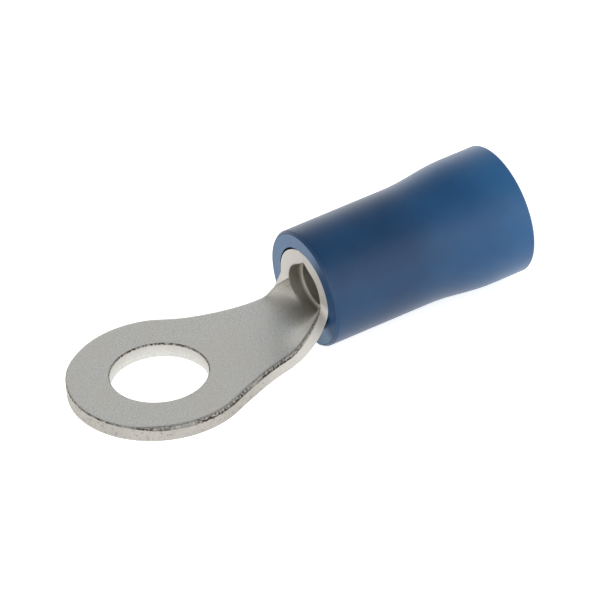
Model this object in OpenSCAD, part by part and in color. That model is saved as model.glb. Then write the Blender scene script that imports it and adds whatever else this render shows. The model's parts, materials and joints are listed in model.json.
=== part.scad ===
// Insulated ring terminal for a screw stud: a stamped and rolled metal terminal in a moulded sleeve.
// Sizes are in millimetres. The origin is the centre of the screw hole, on the underside of the
// ring. Z runs along the screw and X runs from the ring towards the barrel that holds the wire.

/* [Ring] */
// Diameter of the screw hole
stud_hole_d = 4.3; // [2.2:0.1:8.4]
// Width of the metal band round the hole
ring_band = 1.9; // [1.3:0.05:3]
// Thickness of the sheet metal
sheet_t = 0.7; // [0.5:0.05:1]
// Radius that the die leaves on the upper outer edges
edge_roll = 0.15; // [0.05:0.01:0.25]
// Radius on the upper edge of the screw hole
hole_roll = 0.06; // [0.03:0.01:0.15]

/* [Neck] */
// Length of the neck from the rim of the ring to the mouth of the barrel
neck_l = 3.5; // [3:0.1:7]
// Width of the neck at its waist, measured on the flat blank
neck_w = 4; // [3:0.1:4.6]
// Distance from the waist to the mouth of the barrel
waist_l = 0.3; // [0.1:0.05:1]
// Length over which the flat sheet curls up into the barrel
curl_l = 2; // [1.5:0.05:2.4]
// Radius of the corner between the side of the neck and the end of the barrel
corner_r = 0.25; // [0.15:0.05:0.5]

/* [Barrel] */
// Bore for the stripped wire
wire_bore_d = 2.3; // [1.7:0.1:4.5]
// Length of the barrel
barrel_l = 5; // [4:0.1:9]
// Depth of the groove that the seam leaves along the outside
seam_d = 0.14; // [0.05:0.01:0.25]
// Width of the seam groove
seam_w = 0.4; // [0.2:0.05:0.8]
// Height of the peak that the butted edges leave inside the mouth
peak_h = 0.22; // [0.1:0.01:0.3]
// Depth of the peaked mouth along the bore
peak_l = 0.5; // [0.2:0.05:0.8]
// How far the corners where the peak begins stand inside the bore
peak_inset = 0.03; // [0.02:0.01:0.1]
// Number of grip grooves round the bore
grip_n = 3; // [1:1:3]
// Distance from one grip groove to the next
grip_pitch = 0.8; // [0.4:0.05:0.9]
// Depth of a grip groove
grip_d = 0.1; // [0.05:0.01:0.15]
// Width of a grip groove
grip_w = 0.24; // [0.15:0.01:0.35]
// Chamfer where the wire enters the bore
lead_in = 0.2; // [0.1:0.05:0.4]

/* [Sleeve] */
// Wall of the sleeve over the barrel
sleeve_wall = 0.81; // [0.5:0.02:1.2]
// Clearance all round between the sleeve and the barrel
sleeve_fit = 0.025; // [0.01:0.005:0.05]
// Extra clearance at the front edge of the sleeve
front_relief = 0.05; // [0.02:0.01:0.1]
// Depth of the front clearance
relief_l = 0.6; // [0.3:0.1:1.5]
// Thickness of the shoulder that stops the end of the barrel
stop_l = 0.3; // [0.2:0.05:0.6]
// Distance from the end of the barrel to the start of the flare
flare_gap = 0.2; // [0:0.05:0.6]
// Length of the flare
flare_l = 3.1; // [1.5:0.1:4]
// Growth of the sleeve's diameter over the flare
flare_growth = 0.52; // [0.1:0.02:1.2]
// Length of the straight wire entry behind the flare
entry_l = 1.7; // [1:0.1:5]
// Wall of the sleeve at the wire entry
entry_wall = 0.65; // [0.4:0.05:1]
// Length of the funnel that leads the strands into the barrel
funnel_l = 1.7; // [0.8:0.1:2]
// Rounding of the sleeve's front edge
front_round = 0.15; // [0.05:0.01:0.3]
// Rounding of the sleeve's rear edge
rear_round = 0.22; // [0.05:0.01:0.3]
// Chamfer round the wire entry
entry_chamfer = 0.15; // [0.05:0.01:0.3]

/* [Hidden] */
$fn = 96;

// Tin and blue insulation as colours for the two pieces
TIN = [0.72, 0.71, 0.68];
BLUE = [0.14, 0.27, 0.45];

// Ring and neck outline: a round ring, a hollow flank that is tangent to it, and a straight waist
ring_r = stud_hole_d / 2 + ring_band;
neck_r = neck_w / 2;
mouth_x = ring_r + neck_l;
waist_x = mouth_x - waist_l;
curl_x = mouth_x - curl_l;
flank_r = (waist_x * waist_x + neck_r * neck_r - ring_r * ring_r) / (2 * (ring_r - neck_r));
flank_y = neck_r + flank_r;
touch_x = ring_r * waist_x / norm([waist_x, flank_y]);

// Barrel: its floor is the underside of the ring carried straight on
wire_bore_r = wire_bore_d / 2;
barrel_r = wire_bore_r + sheet_t;
axis_z = barrel_r;
mid_r = wire_bore_r + sheet_t / 2;
barrel_end_x = mouth_x + barrel_l;
grip_x = mouth_x + peak_l;

// Sleeve: it follows the barrel that it grips and the flare that clears the wire's own insulation
socket_r = barrel_r + sleeve_fit;
sleeve_r = socket_r + sleeve_wall;
flare_r = sleeve_r + flare_growth / 2;
entry_r = flare_r - entry_wall;
stop_x = barrel_l + sleeve_fit;
throat_r = wire_bore_r + lead_in;
funnel_x = stop_x + stop_l;
flare_x = barrel_l + flare_gap;
sleeve_l = flare_x + flare_l + entry_l;

// The neck's skins lie this far inside those of the ring and the barrel that it joins
LAP = 0.004;
// Length of the neck inside the wall of the barrel
TUCK = 0.05;
// How far a cutting solid stands proud of what it cuts
PROUD = 0.5;
// Angle above the axis at which the peak of the mouth begins, on either side
PEAK_CORNER = 62;
// Steps along the flat of the neck, along its curl, round the mouth corner, across the sheet and
// round the rolled edge
FLAT_STEPS = 9;
CURL_STEPS = 20;
CORNER_STEPS = 6;
CROSS_STEPS = 24;
ROLL_STEPS = 3;
// Steps along the flare of the sleeve and round each of its edges
FLARE_STEPS = 20;
EDGE_STEPS = 6;

// Half width of the flat blank at x, from the flank to the waist
function flank_half(x) = flank_y - sqrt(flank_r * flank_r - pow(max(waist_x - x, 0), 2));

// Half width with the corner that sweeps out into the end of the barrel
function blank_half(x) =
    let (into = min(max(x - (mouth_x - corner_r), 0), corner_r))
    flank_half(x) + corner_r - sqrt(corner_r * corner_r - into * into);

// How much wider the edge's radius looks in a section at x, where the flank runs at an angle
function edge_stretch(x) = 1 / cos(asin(max(waist_x - x, 0) / flank_r));

// Curvature of the sheet at x: none as far as the curl's start, and the barrel's own at its mouth
function curvature(x) = pow(min(max((x - curl_x) / curl_l, 0), 1), 2) / mid_r;

// A point of the sheet: s is the distance from the centre line along the sheet, and n is the
// height over the middle of its thickness
function sheet_point(x, s, n) =
    let (k = curvature(x), turn = s * k * 180 / PI)
    k < 0.001
        ? [x, s, sheet_t / 2 + n]
        : [x, (1 / k - n) * sin(turn), sheet_t / 2 + 1 / k - (1 / k - n) * cos(turn)];

// Half of a flat section's outline, from the middle of the underside round the edge to the top
function half_section(half, skin, roll_w) = concat(
    [for (i = [0:CROSS_STEPS / 2]) [half * i / (CROSS_STEPS / 2), -skin]],
    [for (i = [0:ROLL_STEPS])
        let (a = 90 * i / ROLL_STEPS)
        [half - roll_w * (1 - cos(a)), skin - edge_roll * (1 - sin(a))]],
    [for (i = [CROSS_STEPS / 2 - 1:-1:1]) [(half - roll_w) * i / (CROSS_STEPS / 2), skin]]
);

// The whole flat section at x as a closed loop, and the same loop bent to the curl there
function flat_section(x) =
    let (
        skin = sheet_t / 2 - LAP,
        right = half_section(blank_half(x) - LAP * edge_stretch(x), skin, edge_roll * edge_stretch(x))
    )
    concat(right, [[0, skin]], [for (i = [len(right) - 1:-1:1]) [-right[i][0], right[i][1]]]);
function section(x) = [for (p = flat_section(x)) sheet_point(x, p[0], p[1])];

// Stations along the neck: even along its flat and its curl, then closer round the mouth corner
function neck_stations() = concat(
    [for (i = [0:FLAT_STEPS - 1]) touch_x + (curl_x - touch_x) * i / FLAT_STEPS],
    [for (i = [0:CURL_STEPS - 1]) curl_x + (curl_l - corner_r) * i / CURL_STEPS],
    [for (i = [0:CORNER_STEPS]) mouth_x + LAP - corner_r * (1 - sin(90 * i / CORNER_STEPS))],
    [mouth_x + TUCK]
);

// Faces that close a section: cells between underside and top, and one at each rolled edge
function section_cells(n) =
    let (
        half_n = n / 2,
        h = CROSS_STEPS / 2,
        right = concat(
            [for (i = [0:h - 2]) [i, i + 1, half_n - i - 1, half_n - i]],
            [[for (i = [h - 1:half_n - h + 1]) i]]
        )
    )
    concat(right, [for (cell = right) [for (i = [len(cell) - 1:-1:0]) (n - cell[i]) % n]]);

// The neck: one skin over all its sections, from where its flanks touch the ring to the barrel
module neck() {
    loops = [for (x = neck_stations()) section(x)];
    n = len(loops[0]);
    last = len(loops) - 1;
    cells = section_cells(n);
    polyhedron(
        points = [for (loop = loops) for (p = loop) p],
        faces = concat(
            cells,
            [for (i = [0:last - 1]) for (j = [0:n - 1]) [i * n + j, (i + 1) * n + j, i * n + (j + 1) % n]],
            [for (i = [0:last - 1]) for (j = [0:n - 1])
                [i * n + (j + 1) % n, (i + 1) * n + j, (i + 1) * n + (j + 1) % n]],
            [for (cell = cells) [for (i = [len(cell) - 1:-1:0]) last * n + cell[i]]]
        ),
        convexity = 6
    );
}

// Flat ring with the die's radius on its upper edge
module ring_blank() {
    rotate_extrude() {
        square([ring_r, sheet_t - edge_roll]);
        square([ring_r - edge_roll, sheet_t]);
        translate([ring_r - edge_roll, sheet_t - edge_roll]) circle(edge_roll);
    }
}

// Screw hole, with a small radius on its upper edge
module stud_hole() {
    hole_r = stud_hole_d / 2;
    rotate_extrude() {
        translate([0, -PROUD]) square([hole_r, sheet_t + 2 * PROUD]);
        difference() {
            translate([0, sheet_t - hole_roll]) square([hole_r + hole_roll, hole_roll + PROUD]);
            translate([hole_r + hole_roll, sheet_t - hole_roll]) circle(hole_roll);
        }
    }
}

// Places a shape that is drawn along Z on the axis of the barrel, x from the screw hole
module on_barrel_axis(x) {
    translate([x, 0, axis_z]) rotate([0, 90, 0]) children();
}

// One grip groove, cut round the bore
module grip_groove() {
    rotate_extrude() polygon([
        [0, -grip_w / 2],
        [wire_bore_r, -grip_w / 2],
        [wire_bore_r + grip_d, 0],
        [wire_bore_r, grip_w / 2],
        [0, grip_w / 2]
    ]);
}

// Peaked mouth: the edges of the sheet meet under the seam without bending right round
module peaked_mouth() {
    corner_y = (wire_bore_r - peak_inset) * cos(PEAK_CORNER);
    corner_z = (wire_bore_r - peak_inset) * sin(PEAK_CORNER);
    translate([mouth_x + peak_l, 0, axis_z]) rotate([90, 0, -90])
        linear_extrude(peak_l + PROUD) polygon([
            [-corner_y, 0],
            [corner_y, 0],
            [corner_y, corner_z],
            [0, wire_bore_r + peak_h],
            [-corner_y, corner_z]
        ]);
}

// Groove where the two edges of the sheet meet along the top of the barrel
module seam_groove() {
    translate([mouth_x - PROUD, 0, axis_z + barrel_r - seam_d]) rotate([90, 0, 90])
        linear_extrude(barrel_l + 2 * PROUD)
            polygon([[0, 0], [seam_w, 2 * seam_d], [-seam_w, 2 * seam_d]]);
}

// Rolled barrel with the butted seam along its top
module barrel() {
    difference() {
        on_barrel_axis(mouth_x) cylinder(h = barrel_l, r = barrel_r);
        on_barrel_axis(mouth_x - PROUD) cylinder(h = barrel_l + 2 * PROUD, r = wire_bore_r);
        on_barrel_axis(barrel_end_x - lead_in)
            cylinder(h = 2 * lead_in, r1 = wire_bore_r, r2 = wire_bore_r + 2 * lead_in);
        for (i = [0:grip_n - 1])
            on_barrel_axis(grip_x + i * grip_pitch) grip_groove();
        peaked_mouth();
        seam_groove();
    }
}

// Stamped ring, curled neck and rolled barrel: one piece of sheet, drilled for the screw
module ring_terminal() {
    color(TIN) difference() {
        union() {
            ring_blank();
            neck();
            barrel();
        }
        stud_hole();
    }
}

// Radius of the flare at t, from 0 at the grip to 1 at the wire entry: an even S curve
function flare_at(t) = sleeve_r + (flare_r - sleeve_r) * (1 - cos(180 * t)) / 2;

// Rounded front and rear edges, each as points from one flat to the other
function front_edge() = [for (i = [0:EDGE_STEPS])
    let (a = 90 * i / EDGE_STEPS)
    [sleeve_r - front_round * (1 - sin(a)), front_round * (1 - cos(a))]];
function rear_edge() = [for (i = [0:EDGE_STEPS])
    let (a = 90 * i / EDGE_STEPS)
    [flare_r - rear_round * (1 - cos(a)), sleeve_l - rear_round * (1 - sin(a))]];

// Moulded sleeve: a grip on the barrel, a shoulder behind it, and a funnel for the strands
module insulating_sleeve() {
    color(BLUE) on_barrel_axis(mouth_x) rotate_extrude() polygon(concat(
        front_edge(),
        [for (i = [0:FLARE_STEPS]) [flare_at(i / FLARE_STEPS), flare_x + flare_l * i / FLARE_STEPS]],
        rear_edge(),
        [
            [entry_r + entry_chamfer, sleeve_l],
            [entry_r, sleeve_l - entry_chamfer],
            [entry_r, funnel_x + funnel_l],
            [throat_r, funnel_x],
            [throat_r, stop_x],
            [socket_r, stop_x],
            [socket_r, relief_l],
            [socket_r + front_relief, relief_l - front_relief],
            [socket_r + front_relief, 0]
        ]
    ));
}

ring_terminal();
insulating_sleeve();
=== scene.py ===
import json
import math

import bmesh
import bpy
from mathutils import Matrix, Vector


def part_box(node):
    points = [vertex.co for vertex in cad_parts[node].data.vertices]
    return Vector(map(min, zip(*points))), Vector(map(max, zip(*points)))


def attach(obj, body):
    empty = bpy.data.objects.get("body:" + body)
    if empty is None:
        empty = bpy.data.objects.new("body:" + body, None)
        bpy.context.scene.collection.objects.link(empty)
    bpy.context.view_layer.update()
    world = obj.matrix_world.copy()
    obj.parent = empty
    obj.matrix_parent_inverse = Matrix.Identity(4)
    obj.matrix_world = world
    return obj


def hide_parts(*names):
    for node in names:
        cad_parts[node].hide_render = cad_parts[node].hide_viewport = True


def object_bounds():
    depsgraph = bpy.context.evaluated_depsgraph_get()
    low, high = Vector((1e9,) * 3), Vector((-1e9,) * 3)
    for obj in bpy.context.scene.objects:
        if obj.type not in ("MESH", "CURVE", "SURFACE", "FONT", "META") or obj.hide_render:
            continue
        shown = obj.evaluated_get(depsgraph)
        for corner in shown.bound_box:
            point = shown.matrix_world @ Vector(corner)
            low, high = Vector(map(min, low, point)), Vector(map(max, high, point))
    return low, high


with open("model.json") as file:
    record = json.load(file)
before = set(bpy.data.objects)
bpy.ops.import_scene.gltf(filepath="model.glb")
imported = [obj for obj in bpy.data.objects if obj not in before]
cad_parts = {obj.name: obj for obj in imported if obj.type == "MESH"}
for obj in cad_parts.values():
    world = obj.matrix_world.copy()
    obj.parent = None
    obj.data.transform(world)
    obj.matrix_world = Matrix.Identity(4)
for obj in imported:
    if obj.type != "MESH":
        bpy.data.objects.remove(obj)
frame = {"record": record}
cad_box = [list(corner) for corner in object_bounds()]

# ---------------------------------------------------------------------------
# Terminal: one blank of tinned copper sheet. It is stamped flat, with a ring for the
# screw, and its wide end is curled up and rolled into the barrel that grips the wire. The
# punch leaves a soft, burnished radius on the upper edges and bare metal on the cut walls.
# Painted shade darkens the rounded edges and the inside of the barrel, and a painted highlight lies
# on each groove's rear edge.

MM = 0.001
mounts = {mount["name"]: mount for mount in frame["record"]["mounts"]}
terminal_low, terminal_high = (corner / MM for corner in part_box("ring_terminal"))
sleeve_low, sleeve_high = (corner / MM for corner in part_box("insulating_sleeve"))

hole_r = mounts["stud_hole"]["dims"]["r_mm"]
ring_r = -terminal_low.x
sheet_t = mounts["screw_head_face"]["pos_m"][2] / MM
bore_r = mounts["wire_bore"]["dims"]["r_mm"]
mouth_x = sleeve_low.x
barrel_end_x = terminal_high.x
mid_r = bore_r + sheet_t / 2
axis_z = bore_r + sheet_t

neck_r = 2.1  # half the neck's width at its waist
waist_x = mouth_x - 0.3
curl_l, far_curl_l = 2.55, 1.1  # lengths over which the near and the far side curl up
curl_x = mouth_x - curl_l
corner_r = 0.25
edge_roll = 0.15
hole_roll = 0.06
tip_soft, end_soft = 0.35, 0.15  # shares of the edge radius at the ring's tip and on the barrel
plain_soft = 0.1  # share of the edge radius at which neither burnish nor painted shade is left
burnish_w = 0.04
foot = 0.02  # the cut wall leans in by this at its foot
tiny = 0.001
seam_gap = 0.006
seam_s = math.pi * mid_r - seam_gap / 2  # half the barrel's width on the flat blank

# Each flank of the neck is a hollow arc, from where it touches the ring to the waist
flank_r = (waist_x**2 + neck_r**2 - ring_r**2) / (2 * (ring_r - neck_r))
flank_y = neck_r + flank_r
touch_turn = math.atan2(flank_y, waist_x)


def smooth_step(low, high, value):
    """Rises smoothly from 0 at the low value to 1 at the high one."""
    t = min(max((value - low) / (high - low), 0), 1)
    return t * t * (3 - 2 * t)


def half_outline():
    """One half of the blank's outline, from the tip of the ring to the end of the seam.

    Each point has its place, the direction into the sheet, and its share of the edge radius,
    which is small round the tip and full from the ring's front on."""
    ring_steps, flank_steps, corner_steps = 60, 40, 10
    full_turn, tip_turn = 2.1, 2.45
    points = []
    for i in range(ring_steps):
        turn = math.pi + (touch_turn - math.pi) * i / ring_steps
        out = Vector((math.cos(turn), math.sin(turn)))
        soft = 1 + (tip_soft - 1) * smooth_step(full_turn, tip_turn, turn)
        points.append((out * ring_r, -out, soft))
    for i in range(flank_steps + 1):
        turn = touch_turn + (math.pi / 2 - touch_turn) * i / flank_steps
        into = -Vector((math.cos(turn), math.sin(turn)))
        points.append((Vector((waist_x, flank_y)) + into * flank_r, into, 1))
    for i in range(corner_steps + 1):
        turn = math.pi / 2 * i / corner_steps
        into = Vector((math.sin(turn), -math.cos(turn)))
        middle = Vector((mouth_x - corner_r, neck_r + corner_r))
        points.append((middle + into * corner_r, into, 1 + (end_soft - 1) * i / corner_steps))
    points.append((Vector((mouth_x, seam_s)), Vector((1, -1)), end_soft))
    points.append((Vector((barrel_end_x, seam_s)), Vector((-1, -1)), end_soft))
    return points


def select_alone(piece):
    bpy.ops.object.select_all(action="DESELECT")
    piece.select_set(True)
    bpy.context.view_layer.objects.active = piece


def begin_edit(piece):
    """Opens the mesh of one piece, with no face of it selected."""
    select_alone(piece)
    bpy.ops.object.mode_set(mode="EDIT")
    bpy.ops.mesh.select_mode(type="FACE")
    bpy.ops.mesh.select_all(action="DESELECT")


def end_edit():
    bpy.ops.object.mode_set(mode="OBJECT")


def apply_modifier(piece, kind, **settings):
    """Adds a modifier to a piece and applies it."""
    modifier = piece.modifiers.new(kind.title(), kind)
    for name, value in settings.items():
        setattr(modifier, name, value)
    select_alone(piece)
    bpy.ops.object.modifier_apply(modifier=modifier.name)


def edge_levels():
    """Levels of the blank's outline from its underside round its upper edge to its top.

    Each is an inset, a height, how much bare sheared metal shows there, and how burnished it is, a
    mark that also paints shade on the rounded edge."""
    steps, wall_burnish_and_shade, burnish_and_shade_fall = 5, 0.2, 0.6
    levels = [(0, foot, 1, wall_burnish_and_shade), (0, sheet_t - edge_roll - burnish_w, 1, wall_burnish_and_shade)]
    for i in range(steps + 1):
        turn = math.pi / 2 * i / steps
        height = sheet_t - edge_roll * (1 - math.sin(turn))
        levels.append((edge_roll * (1 - math.cos(turn)), height, 0, 1 - burnish_and_shade_fall * turn))
    return levels + [(edge_roll + further, sheet_t, 0, 0) for further in (0.05, 0.12, 0.25)]


# The flat blank: its underside is drawn from a circle, and extruded level by level to its top
outline = half_outline()
for at, into, soft in reversed(outline[1:]):
    outline.append((Vector((at.x, -at.y)), Vector((into.x, -into.y)), soft))
bpy.ops.object.select_all(action="DESELECT")
bpy.ops.mesh.primitive_circle_add(vertices=len(outline), radius=ring_r, fill_type="NGON")
terminal = bpy.context.object
terminal.name = terminal.data.name = "stamped_terminal"
for vertex, (at, into, soft) in zip(terminal.data.vertices, outline):
    vertex.co = (*(at + into * foot), 0)
terminal.data.attributes.new("order", "INT", "POINT").data.foreach_set("value", range(len(outline)))
for name in ("cut", "burnish_and_shade"):
    terminal.data.attributes.new(name, "FLOAT", "POINT")
begin_edit(terminal)
bpy.ops.mesh.select_all(action="SELECT")
for inset, height, cut, burnish_and_shade in edge_levels():
    bpy.ops.mesh.extrude_region_move()
    mesh = bmesh.from_edit_mesh(terminal.data)
    order, layers = mesh.verts.layers.int["order"], mesh.verts.layers.float
    for vertex in mesh.verts:
        if vertex.select:
            at, into, soft = outline[vertex[order]]
            below = sheet_t - height
            if below < edge_roll + 1.5 * burnish_w:
                below = min(below, edge_roll) * soft + max(below - edge_roll, 0)
            reach = min(inset, edge_roll) * soft + max(inset - edge_roll, 0)
            vertex.co = (*(at + into * reach), sheet_t - below)
            vertex[layers["cut"]] = cut
            vertex[layers["burnish_and_shade"]] = burnish_and_shade * smooth_step(plain_soft, tip_soft, soft)
    bmesh.update_edit_mesh(terminal.data)
bpy.ops.mesh.select_all(action="SELECT")
bpy.ops.mesh.normals_make_consistent(inside=False)
end_edit()
terminal.data.attributes.remove(terminal.data.attributes["order"])

# The screw hole is punched, and its upper edge rounded
bpy.ops.object.select_all(action="DESELECT")
bpy.ops.mesh.primitive_cylinder_add(vertices=128, radius=hole_r, depth=4 * sheet_t)
punch = bpy.context.object
apply_modifier(terminal, "BOOLEAN", object=punch, operation="DIFFERENCE", solver="EXACT")
bpy.data.objects.remove(punch)
begin_edit(terminal)
bpy.ops.mesh.select_mode(type="EDGE")
mesh = bmesh.from_edit_mesh(terminal.data)
for edge in mesh.edges:
    ends = [vertex.co for vertex in edge.verts]
    edge.select_set(all(end.z > sheet_t - tiny and end.xy.length < hole_r + tiny for end in ends))
bmesh.update_edit_mesh(terminal.data)
bpy.ops.mesh.bevel(offset=hole_roll, segments=4, affect="EDGES", clamp_overlap=False)
bpy.ops.mesh.select_mode(type="FACE")


def slice_mesh(piece, place, direction, test):
    """Cuts those faces of an open mesh that pass the test along a plane."""
    bpy.ops.mesh.select_all(action="DESELECT")
    mesh = bmesh.from_edit_mesh(piece.data)
    for face in mesh.faces:
        face.select_set(test(face))
    bmesh.update_edit_mesh(piece.data)
    bpy.ops.mesh.bisect(plane_co=place, plane_no=direction, threshold=1e-5)


# The blank is sliced across and along wherever it will bend, and at each grip groove
burnish_z = sheet_t - hole_roll - burnish_w
slice_mesh(terminal, (0, 0, burnish_z), (0, 0, 1),
           lambda face: face.calc_center_median().xy.length < hole_r + tiny)
grip_pitch, grip_w, grip_d = 0.8, 0.24, 0.1
grip_slices = (-1.3, -1, -0.75, 0.75, 1, 1.3)  # in half widths of a groove
peak_l, peak_h, peak_inset = 0.5, 0.22, 0.03
peak_turn = math.radians(62)  # above the middle, where the flats of the peak begin
lead_in, plain_l = 0.2, 1.2
seam_d = 0.14
grooves = [mouth_x + peak_l + i * grip_pitch for i in range(3)]
curl_steps, peak_steps = 40, 4
stations = [curl_x + curl_l * i / curl_steps for i in range(curl_steps + 1)]
stations += [mouth_x + peak_l * i / peak_steps for i in range(1, peak_steps)]
for groove in grooves:
    stations += [groove + grip_w / 2 * side for side in grip_slices]
stations += [barrel_end_x - lead_in, barrel_end_x - plain_l]
for x in stations:
    slice_mesh(terminal, (x, 0, 0), (1, 0, 0), lambda face: True)
columns = 24  # from the floor of the barrel up to the seam, on each side
turn_step = math.pi / columns
for column in range(1 - columns, columns):
    slice_mesh(terminal, (0, column * turn_step * mid_r, 0), (0, 1, 0),
               lambda face: face.calc_center_median().x > curl_x)
end_edit()


def peaked_r(turn):
    """Radius inside the mouth at a turn from its floor. Two flats rise to a peak at the seam."""
    above = turn - math.pi / 2
    if above < peak_turn:
        return bore_r
    peak_r, flat_r = bore_r + peak_h, bore_r - peak_inset
    slope = (peak_r - flat_r * math.sin(peak_turn)) / (flat_r * math.cos(peak_turn))
    return max(peak_r / (math.sin(above) + slope * math.cos(above)), bore_r)


side_blend = 2  # how far, each way from the middle, one side's curl passes into the other's


def curvature(x, y):
    """Curvature across the sheet. The die closes on the near side first, and the far one later."""
    length = curl_l + (far_curl_l - curl_l) * smooth_step(-side_blend, side_blend, y)
    return min(max((x - mouth_x + length) / length, 0), 1) ** 2 / mid_r


# Marks that the finish follows: bare cut metal (2 on the rear edge of a groove, where a
# highlight is painted), burnish, which fades along the neck and also paints shade on the
# rounded edges, and depth, a painted shade inside the barrel and on the near floor of the neck
attributes = terminal.data.attributes
cuts, burnish_and_shade_values = ([item.value for item in attributes[name].data] for name in ("cut", "burnish_and_shade"))
painted_shades = []
hole_burnish_and_shade = 0.65
wall_fade, roll_fade, roll_kept = (2.5, 5.0), (5.0, 6.5), 0.5
# spans of the painted shade inside the barrel, and of the painted shade on the near floor of the
# neck
shade_x, near_shade_x = (mouth_x - 1.8, mouth_x + 0.35), (mouth_x - 2.2, mouth_x - 0.6)
near_shade_y, near_shade = (0.7, 1.9), 0.85
rear_from, rear_to = 0.7, 1.1  # the rear edge of a groove, in its half widths
for vertex in terminal.data.vertices:
    x, y, z = vertex.co
    rho = math.hypot(x, y)
    if rho < hole_r + tiny:
        cuts[vertex.index] = float(tiny < z < burnish_z + tiny)
    # the hole's rounded upper edge gets burnish and painted shade
    if rho < hole_r + 0.9 * hole_roll and z > burnish_z + tiny:
        burnish_and_shade_values[vertex.index] = hole_burnish_and_shade
    on_wall = cuts[vertex.index] > 0.5
    if on_wall:
        burnish_and_shade_values[vertex.index] *= 1 - smooth_step(*wall_fade, x)
    else:
        burnish_and_shade_values[vertex.index] *= 1 - (1 - roll_kept) * smooth_step(*roll_fade, x)
    painted_shades.append(0)
    # painted shade on the upper face of the sheet, inside the barrel and the neck
    if z > sheet_t / 2 and not on_wall:
        near = near_shade * smooth_step(*near_shade_y, -y) * smooth_step(*near_shade_x, x)
        painted_shades[-1] = max(smooth_step(*shade_x, x), near)
        # the rear edge of each groove gets a painted highlight (2) instead of painted shade
        if any(rear_from < (x - groove) / (grip_w / 2) < rear_to for groove in grooves):
            painted_shades[-1], cuts[vertex.index] = 0, 2

# The peaked mouth, the grip grooves, the wire's lead-in and the seam's groove are pressed in,
# and the sheet is then curled up and rolled. The die sets the neck a little to the near side,
# and leaves the far lip of the mouth a little forward.
peak_fade, grip_floor, top_z = (0.7 * peak_l, 1.1 * peak_l), 0.8, sheet_t - 0.03
seam_turn = math.radians(178)
neck_shift, neck_start, neck_end = -0.112, (1.6, 3.2), (5.2, 7.3)
lip_forward, lip_start, lip_end = 0.12, (6.6, mouth_x), (mouth_x, mouth_x + 1)
lip_foot, lip_top = (0.3, 2.4), (3.4, 4.6)  # across the flat sheet
for vertex in terminal.data.vertices:
    x, y, z = vertex.co
    turn = abs(y) / mid_r
    if x > mouth_x - tiny:
        if z > sheet_t / 2:
            z -= (peaked_r(turn) - bore_r) * (1 - smooth_step(*peak_fade, x - mouth_x))
        if z > top_z:
            if any(abs(x - groove) < grip_floor * grip_w / 2 for groove in grooves):
                z -= grip_d
            z -= max(x - (barrel_end_x - lead_in), 0)
        if z < tiny and turn > seam_turn:
            z += seam_d
    y += neck_shift * (smooth_step(*neck_start, x) - smooth_step(*neck_end, x))
    n = z - sheet_t / 2
    k = curvature(x, y)
    along = smooth_step(*lip_start, x) * (1 - smooth_step(*lip_end, x))
    x -= lip_forward * along * smooth_step(*lip_foot, y) * (1 - smooth_step(*lip_top, y))
    if k > 0:
        arm = 1 / k - n
        y, z = arm * math.sin(y * k), sheet_t / 2 + 1 / k - arm * math.cos(y * k)
    vertex.co = (x * MM, y * MM, z * MM)
attributes.new("depth", "FLOAT", "POINT")
for name, values in (("cut", cuts), ("burnish_and_shade", burnish_and_shade_values), ("depth", painted_shades)):
    attributes[name].data.foreach_set("value", values)
terminal.data.update()
select_alone(terminal)
bpy.ops.object.shade_smooth_by_angle(angle=math.radians(40))
apply_modifier(terminal, "WEIGHTED_NORMAL", keep_sharp=True, weight=50)


class Shader:
    """A material whose nodes are added one call at a time."""

    def __init__(self, name, **sockets):
        self.material = bpy.data.materials.new(name)
        self.material.use_nodes = True
        self.nodes = self.material.node_tree.nodes
        self.links = self.material.node_tree.links
        self.surface = self.nodes["Principled BSDF"]
        for socket, value in sockets.items():
            self.surface.inputs[socket.replace("_", " ")].default_value = value

    def node(self, kind, inputs=(), **settings):
        """Adds a node. An input is a plain value or another node's output."""
        node = self.nodes.new("ShaderNode" + kind)
        for name, value in settings.items():
            setattr(node, name, value)
        for slot, value in dict(inputs).items():
            self.put(node.inputs[slot], value)
        return node

    def put(self, socket, value):
        """Gives a socket its value, or links it to another node's output."""
        if isinstance(value, bpy.types.NodeSocket):
            self.links.new(value, socket)
        else:
            socket.default_value = value

    def mark(self, name):
        """One of the piece's own marks."""
        return self.node("Attribute", attribute_name=name).outputs["Fac"]

    def noise(self, scale, detail=3, roughness=0.5):
        """Noise over the object, with its scale in cells to the millimetre."""
        place = self.node("TexCoord").outputs["Object"]
        grid = self.node("Mapping", {"Vector": place, "Scale": [scale / MM] * 3})
        return self.node("TexNoise", {"Vector": grid.outputs[0], "Scale": 1.0, "Detail": detail,
                                      "Roughness": roughness}).outputs["Fac"]

    def ramp(self, value, low, high, to_low=0.0, to_high=1.0):
        """Maps a range of a value onto another range, and stops at its ends."""
        return self.node("MapRange", {"Value": value, "From Min": low, "From Max": high,
                                      "To Min": to_low, "To Max": to_high}).outputs["Result"]

    def combine(self, operation, a, b):
        """Works out one value from two."""
        return self.node("Math", {0: a, 1: b}, operation=operation).outputs[0]

    def blend(self, factor, a, b):
        """Mixes two colours. The node's colour inputs have the numbers 6 and 7."""
        node = self.node("Mix", data_type="RGBA")
        for slot, value in ((0, factor), (6, a), (7, b)):
            self.put(node.inputs[slot], value)
        return node.outputs[2]

    def bump(self, height, strength, distance):
        """Roughens the surface by a height, over a distance in millimetres."""
        node = self.node("Bump", {"Height": height, "Strength": strength,
                                  "Distance": distance * MM})
        self.put(self.surface.inputs["Normal"], node.outputs[0])


def rgb(red, green, blue):
    """A colour on the screen's scale of 0 to 255, as the linear values that a shader takes."""
    return [((c / 255 + 0.055) / 1.055) ** 2.4 for c in (red, green, blue)] + [1]


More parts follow.
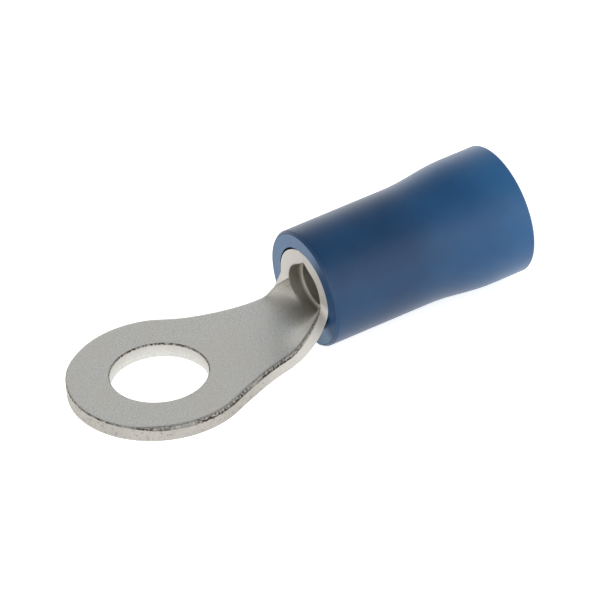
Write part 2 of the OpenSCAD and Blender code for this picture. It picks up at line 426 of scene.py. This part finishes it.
def tinned_copper():
    """Matt tin with a fine grain, bare on its sheared walls, and dark where the punch burnished it.
    Shade is painted on the rounded edges and inside the barrel, and a highlight on the back edge of
    each groove.
    """
    shader = Shader("tinned_copper", Metallic=1.0)
    cut, burnish_and_shade, depth = (shader.mark(name) for name in ("cut", "burnish_and_shade", "depth"))
    grain = shader.noise(13, detail=4, roughness=0.65)
    cloud = shader.noise(0.9, detail=3)
    tin = shader.blend(shader.ramp(grain, 0.4, 0.6), rgb(196, 197, 193), rgb(222, 223, 219))
    tin = shader.blend(shader.ramp(cloud, 0.4, 0.65, 0.0, 0.4), tin, rgb(214, 208, 200))
    bare = shader.blend(shader.ramp(cloud, 0.35, 0.65), rgb(198, 196, 190), rgb(207, 203, 198))
    colour = shader.blend(cut, tin, bare)
    # painted highlight on the rear edge of each groove
    colour = shader.blend(shader.ramp(cut, 1.0, 2.0), colour, rgb(228, 224, 215))
    # painted shade inside the barrel and on the near floor of the neck
    colour = shader.blend(shader.ramp(depth, 0.1, 1.0, 0.0, 0.6), colour, rgb(132, 124, 106))
    # burnish and painted shade darken the rounded edges
    colour = shader.blend(shader.ramp(burnish_and_shade, 0.0, 0.3, 0.0, 0.45), colour, rgb(120, 116, 108))
    specks = shader.ramp(shader.noise(9, detail=3, roughness=0.6), 0.35, 0.65, -0.4, 0.4)
    smear = shader.ramp(shader.noise(0.6, detail=2), 0.35, 0.55, 0.45, 1.0)
    # the darkest colour, broken by specks, goes where burnish and painted shade lie
    dark = shader.ramp(shader.combine("ADD", burnish_and_shade, specks), 0.35, 0.85)
    dark = shader.combine("MULTIPLY", dark, smear)
    colour = shader.blend(dark, colour, rgb(72, 66, 58))
    shader.put(shader.surface.inputs["Base Color"], colour)
    worn = shader.combine("MAXIMUM", shader.ramp(burnish_and_shade, 0.0, 0.5, 0.0, 0.2),
                       shader.ramp(depth, 0.0, 0.8, 0.0, 0.18))
    worn = shader.combine("MAXIMUM", worn, shader.ramp(cut, 0.0, 1.0, 0.0, 0.2))
    shader.put(shader.surface.inputs["Roughness"],
               shader.combine("ADD", shader.ramp(grain, 0.3, 0.7, 0.36, 0.48), worn))
    shader.bump(grain, 0.25, 0.02)
    return shader.material


terminal.data.materials.clear()
terminal.data.materials.append(tinned_copper())
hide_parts("ring_terminal")
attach(terminal, "root")

# ---------------------------------------------------------------------------
# Sleeve: one moulding of blue vinyl, pushed over the barrel. Its collar grips the barrel,
# a shoulder inside stops it at the barrel's end, and the flared rear takes the wire's own
# insulation. Its front face is cut, inside a bevel with softened edges.

barrel_l = barrel_end_x - mouth_x
sleeve_fit, sleeve_wall = 0.025, 0.81
socket_r = axis_z + sleeve_fit
sleeve_r = socket_r + sleeve_wall
flare_r = sleeve_high.y
entry_r = mounts["insulation_entry"]["dims"]["r_mm"]
throat_r = bore_r + lead_in
sleeve_l = sleeve_high.x - mouth_x
stop_x = barrel_l + sleeve_fit
funnel_x, funnel_l = stop_x + 0.3, 1.7
flare_x, flare_l = barrel_l + 0.2, 3.1
rear_round, entry_chamfer = 0.12, 0.15
entry_l = 1.2
relief_l, relief = 0.6, 0.05
lip_x, lip_relief = 0.02, 1.4 * relief
front_x, face_w = -0.07, 0.3  # the front face, a little ahead of the mouth
bevel_l, bevel_r = 0.12, 0.1
bevel_flat = 0.75  # share of the bevel that is flat, before it rounds into the collar
witness = 0.015  # groove that the cutter leaves at the face's edge


def sleeve_profile():
    """Closed outline of the sleeve's wall: distance behind the barrel's mouth, and radius."""
    face_r, flare_end, round_r = sleeve_r - bevel_r, flare_x + flare_l, flare_r - rear_round
    bevel_steps, collar_steps, flare_steps, round_steps = 6, 12, 32, 8
    profile = [
        (front_x, face_r - face_w),
        (front_x, face_r - 2 * witness),
        (front_x + witness, face_r - witness),
        (front_x, face_r),
    ]
    for i in range(bevel_steps + 1):
        t, rounded = i / bevel_steps, 1 - bevel_flat
        profile.append((front_x + bevel_l * (bevel_flat + 2 * rounded * t),
                        sleeve_r - bevel_r * rounded * (1 - t) ** 2))
    profile += [(flare_x * i / collar_steps, sleeve_r) for i in range(1, collar_steps)]
    for i in range(flare_steps + 1):
        t = i / flare_steps
        rise = (flare_r - sleeve_r) * (1 - math.cos(math.pi * t)) / 2
        profile.append((flare_x + flare_l * t, sleeve_r + rise))
    profile += [(flare_end + (sleeve_l - rear_round - flare_end) * i / 3, flare_r) for i in (1, 2)]
    for i in range(round_steps + 1):
        turn = math.pi / 2 * (1 - i / round_steps)
        profile.append((sleeve_l - rear_round + rear_round * math.cos(turn),
                        round_r + rear_round * math.sin(turn)))
    profile += [
        (sleeve_l, entry_r + entry_chamfer),
        (sleeve_l - entry_chamfer, entry_r),
        (sleeve_l - entry_l, entry_r),
        (funnel_x + funnel_l, entry_r),
        (funnel_x, throat_r),
        (stop_x, throat_r),
        (stop_x, socket_r),
        (relief_l, socket_r),
        (relief_l - relief, socket_r + relief),
        (lip_x, socket_r + relief),
        (front_x, socket_r + lip_relief),
    ]
    return profile


bpy.ops.object.select_all(action="DESELECT")
profile = sleeve_profile()
bpy.ops.mesh.primitive_circle_add(vertices=len(profile), radius=1)
sleeve = bpy.context.object
sleeve.name = sleeve.data.name = "moulded_sleeve"
for vertex, (x, r) in zip(sleeve.data.vertices, profile):
    vertex.co = (mouth_x + x, 0, axis_z + r)
begin_edit(sleeve)
bpy.ops.mesh.select_all(action="SELECT")
bpy.ops.mesh.spin(steps=180, angle=math.tau, center=(0, 0, axis_z), axis=(1, 0, 0))
bpy.ops.mesh.select_all(action="SELECT")
bpy.ops.mesh.remove_doubles(threshold=tiny)
bpy.ops.mesh.normals_make_consistent(inside=False)
end_edit()
sleeve.data.transform(Matrix.Scale(MM, 4))
bpy.ops.object.shade_smooth_by_angle(angle=math.radians(32))
apply_modifier(sleeve, "WEIGHTED_NORMAL", keep_sharp=True, weight=50)

# The front face gets a painted reflection (2) in light grey-blue, and its near side (1) keeps the
# body's colour, with less gloss
near_side_from, near_side_to = (15, 45), (115, 135)  # degrees down from the top, on the near side
painted_face_sheens = []
for vertex in sleeve.data.vertices:
    x, y, z = vertex.co / MM
    turn = math.degrees(math.atan2(-y, z - axis_z))
    near_side = smooth_step(*near_side_from, turn) * (1 - smooth_step(*near_side_to, turn))
    at_front = x < mouth_x + front_x + tiny
    in_bevel = math.hypot(y, z - axis_z) < sleeve_r - bevel_r - tiny
    painted_face_sheens.append(2 - near_side if at_front and in_bevel else 0)
sleeve.data.attributes.new("painted_face_sheen", "FLOAT", "POINT").data.foreach_set("value", painted_face_sheens)


def blue_vinyl():
    """Satin vinyl, slightly cloudy, with the fine grain of the mould. Painted light brightens it
    towards its flared end, and a painted reflection lightens its front face.
    """
    grip_l = 4  # length of the collar, before the painted light begins to brighten the colour
    shader = Shader("blue_vinyl", IOR=1.46)
    place = shader.node("TexCoord").outputs["Object"]
    along = shader.node("SeparateXYZ", {0: place}).outputs["X"]
    cloud = shader.noise(0.35, detail=4)
    grain = shader.noise(12, detail=3)
    grip = shader.blend(shader.ramp(cloud, 0.35, 0.65), rgb(6, 54, 94), rgb(17, 66, 106))
    painted_lit_rear = shader.blend(shader.ramp(cloud, 0.35, 0.65), rgb(28, 86, 135), rgb(40, 98, 147))
    # painted light: the colour brightens along the sleeve towards its flared end
    body = shader.blend(shader.ramp(along, (mouth_x + grip_l) * MM, sleeve_high.x * MM), grip, painted_lit_rear)
    painted_face_sheen = shader.mark("painted_face_sheen")
    # painted reflection: the light grey-blue of the front face
    cut = shader.blend(shader.ramp(cloud, 0.35, 0.65), rgb(58, 100, 140), rgb(72, 114, 150))
    colour = shader.blend(shader.ramp(painted_face_sheen, 1.0, 2.0), body, cut)
    shader.put(shader.surface.inputs["Base Color"], colour)
    shader.put(shader.surface.inputs["Roughness"], shader.ramp(grain, 0.3, 0.7, 0.30, 0.40))
    gloss = shader.combine("ADD", shader.ramp(painted_face_sheen, 0.2, 1.0, 0.5, 0.2),
                           shader.ramp(painted_face_sheen, 1.0, 2.0, 0.0, 0.3))
    shader.put(shader.surface.inputs["Specular IOR Level"], gloss)
    shader.bump(grain, 0.12, 0.02)
    return shader.material


sleeve.data.materials.clear()
sleeve.data.materials.append(blue_vinyl())
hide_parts("insulating_sleeve")
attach(sleeve, "root")

# ---------------------------------------------------------------------------
# Studio: a white floor under the ring's tip and the sleeve's rear edge, a white tent that
# is dimmer overhead, a broad and weak lamp in front, and a long lens.

floor_low = Vector((sleeve_high.x - rear_round, 0, axis_z - flare_r)) * MM
floor_tip = Vector((-ring_r, 0, 0)) * MM
floor_tilt = math.atan2(floor_tip.z - floor_low.z, floor_low.x - floor_tip.x)
bpy.ops.object.select_all(action="DESELECT")
bpy.ops.mesh.primitive_plane_add(size=2, location=(floor_tip + floor_low) / 2,
                                 rotation=(0, floor_tilt, 0))
floor = bpy.context.object
floor.name = "floor"


def white_floor():
    """Pale floor that the lens and the gloss see as plain white, under a faint shadow."""
    shader = Shader("white_floor", Base_Color=(0.8, 0.8, 0.8, 1), Roughness=0.9)
    path = shader.node("LightPath")
    seen = shader.combine("MAXIMUM", path.outputs["Is Camera Ray"], path.outputs["Is Glossy Ray"])
    seen = shader.combine("MAXIMUM", seen, path.outputs["Is Transmission Ray"])
    glow = shader.node("Emission", {"Color": (1, 1, 1, 1), "Strength": 0.75})
    both = shader.node("AddShader", {0: shader.surface.outputs[0], 1: glow.outputs[0]})
    mixed = shader.node("MixShader", {0: seen, 1: shader.surface.outputs[0], 2: both.outputs[0]})
    output = shader.nodes["Material Output"]
    shader.put(output.inputs["Surface"], mixed.outputs[0])
    return shader.material


floor.data.materials.append(white_floor())

# The tent's light falls off from its sides to its top, and a little sooner at the rear. The
# lens sees it as plain white.
side_level, top_level, fall_from, fall_to, rear_lean = 1.45, 0.3, 0.2, 1.0, 0.2
tent = bpy.data.worlds.new("tent")
bpy.context.scene.world = tent
tent.use_nodes = True
nodes, links = tent.node_tree.nodes, tent.node_tree.links
background = nodes["Background"]
background.inputs["Color"].default_value = (1, 1, 1, 1)
toward = nodes.new("ShaderNodeTexCoord")
axes = nodes.new("ShaderNodeSeparateXYZ")
links.new(toward.outputs["Generated"], axes.inputs[0])
height = nodes.new("ShaderNodeMath")
height.operation = "MULTIPLY_ADD"
links.new(axes.outputs["Y"], height.inputs[0])
height.inputs[1].default_value = rear_lean
links.new(axes.outputs["Z"], height.inputs[2])
light_level = nodes.new("ShaderNodeMapRange")
light_level.interpolation_type = "SMOOTHSTEP"
links.new(height.outputs[0], light_level.inputs["Value"])
for slot, value in (("From Min", fall_from), ("From Max", fall_to),
                    ("To Min", side_level), ("To Max", top_level)):
    light_level.inputs[slot].default_value = value
path = nodes.new("ShaderNodeLightPath")
seen = nodes.new("ShaderNodeMix")
links.new(path.outputs["Is Camera Ray"], seen.inputs["Factor"])
links.new(light_level.outputs["Result"], seen.inputs["A"])
seen.inputs["B"].default_value = 1.0
links.new(seen.outputs["Result"], background.inputs["Strength"])


def add_lamp(name, place, aim, size, power):
    """A square lamp, with its place and size in metres, that faces a point."""
    light = bpy.data.lights.new(name, "AREA")
    light.size, light.energy = size, power
    lamp = bpy.data.objects.new(name, light)
    bpy.context.scene.collection.objects.link(lamp)
    lamp.location = place
    lamp.rotation_euler = (Vector(aim) - Vector(place)).to_track_quat("-Z", "Y").to_euler()


centre = (Vector(cad_box[0]) + Vector(cad_box[1])) / 2
add_lamp("front_lamp", place=(-0.12, -0.22, 0.08), aim=centre, size=0.16, power=0.05)

# The long lens stands in front, towards the ring's end, and looks down on the terminal
azimuth, elevation, roll = (math.radians(angle) for angle in (-29.417, 35.33, -4.697))
distance = 0.37661
aim_right, aim_up = 0.006018, 0.0036909
back = Vector((
    math.sin(azimuth) * math.cos(elevation),
    -math.cos(azimuth) * math.cos(elevation),
    math.sin(elevation),
))
level = Vector((math.cos(azimuth), math.sin(azimuth), 0))
right = level * math.cos(roll) + back.cross(level) * math.sin(roll)
up = back.cross(right)
camera = bpy.data.objects.new("camera", bpy.data.cameras.new("camera"))
bpy.context.scene.collection.objects.link(camera)
camera.data.lens = 524.45
camera.data.clip_end = 10
aim = right * aim_right + up * aim_up
turned = Matrix((right, up, back)).transposed().to_4x4()
camera.matrix_world = Matrix.Translation(aim + back * distance) @ turned
bpy.context.scene.camera = camera
bpy.context.scene.view_settings.view_transform = "Standard"
